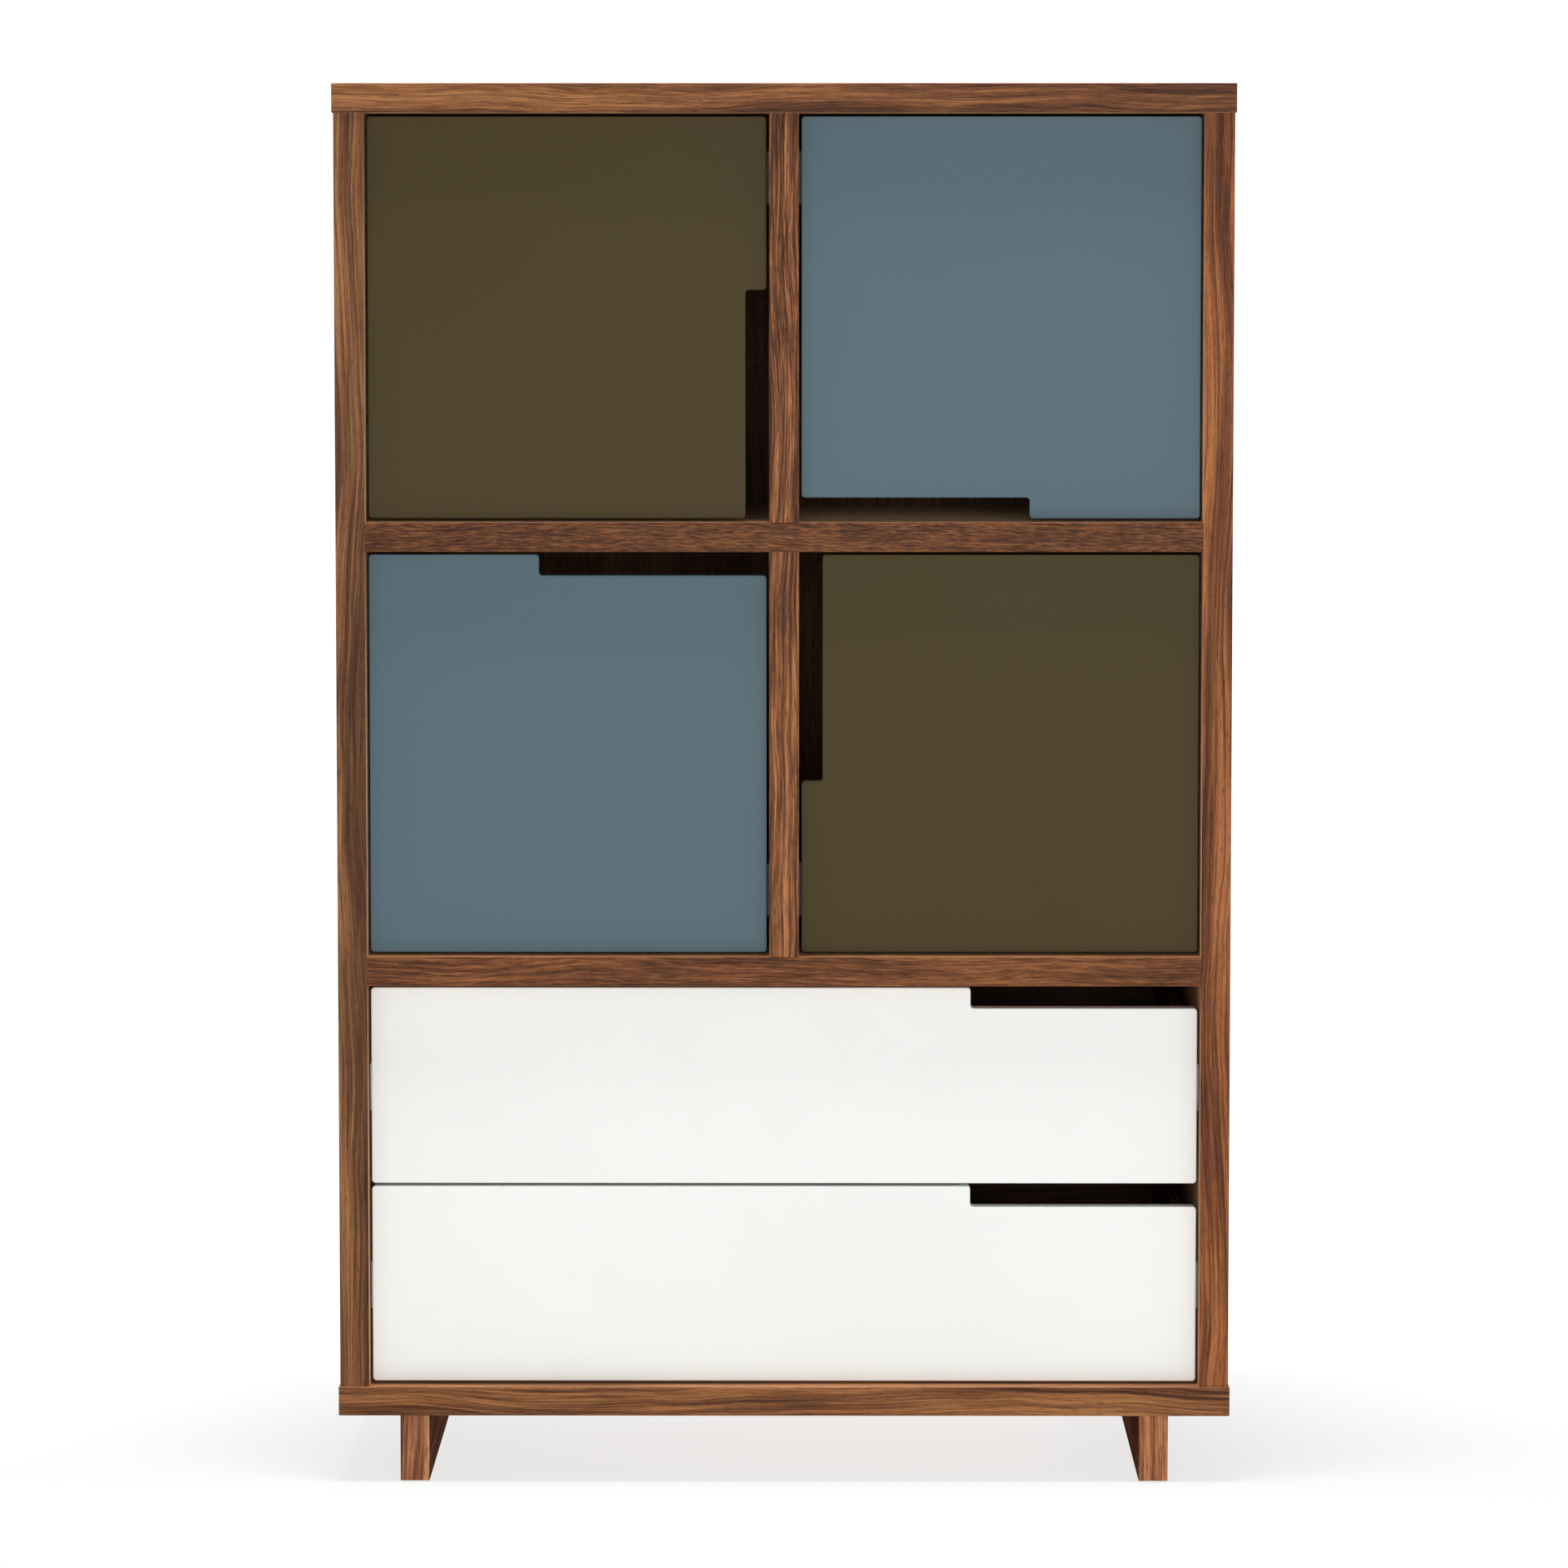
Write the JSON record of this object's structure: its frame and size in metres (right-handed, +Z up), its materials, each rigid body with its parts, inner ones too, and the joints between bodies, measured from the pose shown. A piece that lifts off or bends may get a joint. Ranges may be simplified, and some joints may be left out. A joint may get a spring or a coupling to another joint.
{
  "type": "cube storage unit",
  "caption": "Walnut cabinet of square cubes behind notched, coloured doors, over full-width white drawers, on board legs.",
  "frame": {"origin": "on the floor, under the middle of the cabinet", "axes": "+X to the right as seen from the front, +Y to the back, +Z up"},
  "size_m": [0.855, 0.406, 1.338],
  "materials": {
    "walnut": "satin walnut veneer and solid edges",
    "walnut_dark": "satin walnut, a darker board",
    "walnut_back": "walnut veneered panel",
    "olive_lacquer": "olive satin lacquer on board",
    "blue_lacquer": "grey-blue satin lacquer on board",
    "white_lacquer": "white satin lacquer on board",
    "dark_ply": "walnut-stained plywood",
    "beech": "plain fluted beech dowel",
    "hinge_steel": "nickel-plated steel",
    "zinc_steel": "zinc-plated steel",
    "runner_steel": "zinc-plated sheet steel",
    "brass": "turned brass",
    "grey_plastic": "moulded grey plastic",
    "black_plastic": "moulded nylon"
  },
  "bodies": {
    "cabinet": {"top_panel": "walnut", "bottom_panel": "walnut", "left_side_panel": "walnut", "right_side_panel": "walnut", "lower_shelf": "walnut", "upper_shelf": "walnut_dark", "upper_divider": "walnut", "lower_divider": "walnut", "back_panel": "walnut_back", "back_panel_screws": "zinc_steel", "carcass_dowels": "beech", "hinge_arms": "hinge_steel", "hinge_plates": "hinge_steel", "hinge_screws": "zinc_steel", "catch_housings": "grey_plastic", "catch_magnets": "zinc_steel", "catch_screws": "zinc_steel", "left_leg_board": "walnut", "right_leg_board": "walnut", "leg_bolts": "zinc_steel", "leg_inserts": "brass", "floor_glides": "black_plastic", "runner_cabinet_members": "runner_steel", "runner_cabinet_screws": "zinc_steel"},
    "upper_left_door": {"upper_left_door": "olive_lacquer", "upper_left_door_hinge_cups": "hinge_steel", "upper_left_door_strike": "zinc_steel", "upper_left_door_screws": "zinc_steel"},
    "upper_right_door": {"upper_right_door": "blue_lacquer", "upper_right_door_hinge_cups": "hinge_steel", "upper_right_door_strike": "zinc_steel", "upper_right_door_screws": "zinc_steel"},
    "lower_left_door": {"lower_left_door": "blue_lacquer", "lower_left_door_hinge_cups": "hinge_steel", "lower_left_door_strike": "zinc_steel", "lower_left_door_screws": "zinc_steel"},
    "lower_right_door": {"lower_right_door": "olive_lacquer", "lower_right_door_hinge_cups": "hinge_steel", "lower_right_door_strike": "zinc_steel", "lower_right_door_screws": "zinc_steel"},
    "lower_drawer": {"lower_drawer_front": "white_lacquer", "lower_drawer_inner_front": "dark_ply", "lower_drawer_back": "dark_ply", "lower_drawer_left_side": "dark_ply", "lower_drawer_right_side": "dark_ply", "lower_drawer_bottom": "dark_ply", "lower_drawer_screws": "zinc_steel", "lower_drawer_runner_members": "runner_steel"},
    "lower_runner_middle": {"lower_runner_mid_members": "runner_steel", "lower_runner_ball_cages": "black_plastic"},
    "upper_drawer": {"upper_drawer_front": "white_lacquer", "upper_drawer_inner_front": "dark_ply", "upper_drawer_back": "dark_ply", "upper_drawer_left_side": "dark_ply", "upper_drawer_right_side": "dark_ply", "upper_drawer_bottom": "dark_ply", "upper_drawer_screws": "zinc_steel", "upper_drawer_runner_members": "runner_steel"},
    "upper_runner_middle": {"upper_runner_mid_members": "runner_steel", "upper_runner_ball_cages": "black_plastic"}
  },
  "joints": [
    {"name": "upper_left_door_hinge", "type": "hinge", "parent": "cabinet", "child": "upper_left_door", "pos_m": [-0.377, -0.1775, 1.1165], "axis": [0, 0, -1], "range_deg": [0, 105]},
    {"name": "upper_right_door_hinge", "type": "hinge", "parent": "cabinet", "child": "upper_right_door", "pos_m": [0.377, -0.1775, 1.1165], "axis": [0, 0, 1], "range_deg": [0, 105]},
    {"name": "lower_left_door_hinge", "type": "hinge", "parent": "cabinet", "child": "lower_left_door", "pos_m": [-0.377, -0.1775, 0.7015], "axis": [0, 0, -1], "range_deg": [0, 105]},
    {"name": "lower_right_door_hinge", "type": "hinge", "parent": "cabinet", "child": "lower_right_door", "pos_m": [0.377, -0.1775, 0.7015], "axis": [0, 0, 1], "range_deg": [0, 105]},
    {"name": "lower_drawer_slide", "type": "slide", "parent": "cabinet", "child": "lower_drawer", "axis": [0, -1, 0], "range_m": [0, 0.34]},
    {"name": "lower_runner_middle_slide", "type": "slide", "parent": "cabinet", "child": "lower_runner_middle", "axis": [0, -1, 0], "range_m": [0, 0.17]},
    {"name": "upper_drawer_slide", "type": "slide", "parent": "cabinet", "child": "upper_drawer", "axis": [0, -1, 0], "range_m": [0, 0.34]},
    {"name": "upper_runner_middle_slide", "type": "slide", "parent": "cabinet", "child": "upper_runner_middle", "axis": [0, -1, 0], "range_m": [0, 0.17]}
  ],
  "couplings": [
    {"joint": "lower_runner_middle_slide", "follows": "lower_drawer_slide", "ratio": 0.5},
    {"joint": "upper_runner_middle_slide", "follows": "upper_drawer_slide", "ratio": 0.5}
  ]
}
